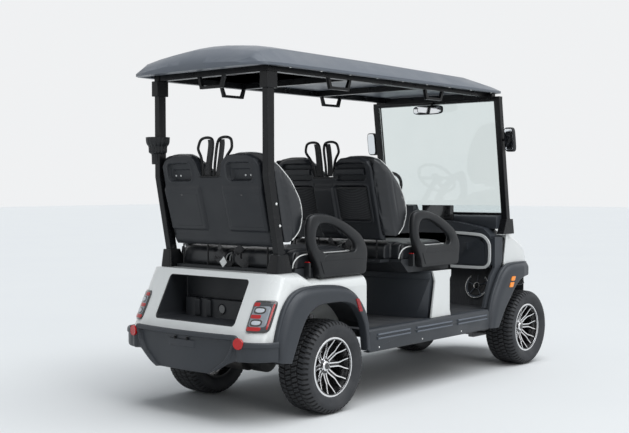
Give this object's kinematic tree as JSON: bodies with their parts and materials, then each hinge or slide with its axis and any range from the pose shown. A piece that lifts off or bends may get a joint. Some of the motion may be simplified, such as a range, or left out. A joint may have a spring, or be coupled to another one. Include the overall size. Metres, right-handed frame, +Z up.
{
  "type": "electric utility vehicle",
  "caption": "Lifted electric utility vehicle with forward-facing seat rows under a fixed roof, a rear cargo well, spoked wheels that roll and front wheels that steer.",
  "frame": {"origin": "on the ground, midway along the overall length, on the centre plane", "axes": "+X forward, +Y to the vehicle's left, +Z up"},
  "size_m": [3.82, 1.418, 2.335],
  "materials": {
    "white_paint": "glossy moulded body panels in a slightly warm off-white",
    "charcoal_plastic": "satin charcoal with a fine grain",
    "soft_black_plastic": "matt black with a fine grain",
    "black_steel": "black powder coat",
    "seat_vinyl": "dark grained vinyl with pale piping",
    "floor_mat": "ribbed mat",
    "windscreen_glass": "clear, lightly tinted",
    "tail_lens": "red and clear lens in a black surround",
    "red_reflector": "red prismatic lens",
    "clear_lens": "clear lens over a bright bowl",
    "gloss_black": "gloss black",
    "machined_alloy": "machined faces over gloss black",
    "tyre_rubber": "black rubber"
  },
  "bodies": {
    "body": {"rear_body": "white_paint", "front_cowl": "white_paint", "seat_pod_sides": "white_paint", "dash_trim": "white_paint", "cargo_box": "charcoal_plastic", "rear_bumper": "charcoal_plastic", "front_bumper": "charcoal_plastic", "rear_flares": "charcoal_plastic", "front_flares": "charcoal_plastic", "rocker_panels": "charcoal_plastic", "roof": "charcoal_plastic", "pillar_cup": "charcoal_plastic", "seat_shell_rear": "charcoal_plastic", "seat_shell_front": "charcoal_plastic", "seat_pod": "charcoal_plastic", "dashboard": "charcoal_plastic", "armrests_rear": "soft_black_plastic", "armrests_front": "soft_black_plastic", "arch_liners": "soft_black_plastic", "mirrors": "soft_black_plastic", "battery_pack": "soft_black_plastic", "grille": "soft_black_plastic", "chassis_frame": "black_steel", "rear_axle": "black_steel", "rear_suspension": "black_steel", "front_suspension": "black_steel", "rear_pillars": "black_steel", "front_pillars": "black_steel", "roof_frame": "black_steel", "belt_hoops_rear": "black_steel", "belt_hoops_front": "black_steel", "seat_base_rear": "black_steel", "seat_base_front": "black_steel", "steering_column": "black_steel", "pedals": "black_steel", "seat_cushions_rear": "seat_vinyl", "seat_cushions_front": "seat_vinyl", "seat_backs_rear": "seat_vinyl", "seat_backs_front": "seat_vinyl", "floor_pan": "floor_mat", "windscreen": "windscreen_glass", "tail_lights": "tail_lens", "reflectors": "red_reflector", "headlights": "clear_lens", "display": "gloss_black", "speakers": "gloss_black"},
    "wheel_rear_left": {"tyre_rear_left": "tyre_rubber", "rim_rear_left": "machined_alloy"},
    "wheel_rear_right": {"tyre_rear_right": "tyre_rubber", "rim_rear_right": "machined_alloy"},
    "wheel_front_left": {"tyre_front_left": "tyre_rubber", "rim_front_left": "machined_alloy"},
    "wheel_front_right": {"tyre_front_right": "tyre_rubber", "rim_front_right": "machined_alloy"},
    "knuckle_left": {"knuckle_left": "black_steel"},
    "knuckle_right": {"knuckle_right": "black_steel"},
    "tie_rods": {"tie_rods": "black_steel"},
    "steering_wheel": {"steering_wheel": "soft_black_plastic"},
    "glove_box_door": {"glove_box_door": "charcoal_plastic"}
  },
  "joints": [
    {"name": "steer_left", "type": "hinge", "parent": "body", "child": "knuckle_left", "pos_m": [1.295, 0.45, 0.296], "axis": [0, 0, 1], "range_deg": [-28, 28]},
    {"name": "steer_right", "type": "hinge", "parent": "body", "child": "knuckle_right", "pos_m": [1.295, -0.45, 0.296], "axis": [0, 0, 1], "range_deg": [-28, 28]},
    {"name": "steering_wheel_turn", "type": "hinge", "parent": "body", "child": "steering_wheel", "pos_m": [0.597, 0.3, 1.397], "axis": [-0.8659, 0, 0.5002], "range_deg": [-448, 448]},
    {"name": "rack_slide", "type": "slide", "parent": "body", "child": "tie_rods", "axis": [0, 1, 0], "range_m": [-0.0475, 0.0475]},
    {"name": "glove_box_hinge", "type": "hinge", "parent": "body", "child": "glove_box_door", "pos_m": [0.843, -0.362, 0.829], "axis": [0, -1, 0], "range_deg": [0, 70]},
    {"name": "wheel_rear_left_spin", "type": "hinge", "parent": "body", "child": "wheel_rear_left", "pos_m": [-1.165, 0.515, 0.296], "axis": [0, 1, 0], "continuous": true},
    {"name": "wheel_rear_right_spin", "type": "hinge", "parent": "body", "child": "wheel_rear_right", "pos_m": [-1.165, -0.515, 0.296], "axis": [0, 1, 0], "continuous": true},
    {"name": "wheel_front_left_spin", "type": "hinge", "parent": "knuckle_left", "child": "wheel_front_left", "pos_m": [1.295, 0.515, 0.296], "axis": [0, 1, 0], "continuous": true},
    {"name": "wheel_front_right_spin", "type": "hinge", "parent": "knuckle_right", "child": "wheel_front_right", "pos_m": [1.295, -0.515, 0.296], "axis": [0, 1, 0], "continuous": true}
  ],
  "couplings": [
    {"joint": "steer_right", "follows": "steer_left", "ratio": 1},
    {"joint": "steering_wheel_turn", "follows": "steer_left", "ratio": 16},
    {"joint": "rack_slide", "follows": "steer_left", "m_per_rad": -0.09607}
  ]
}
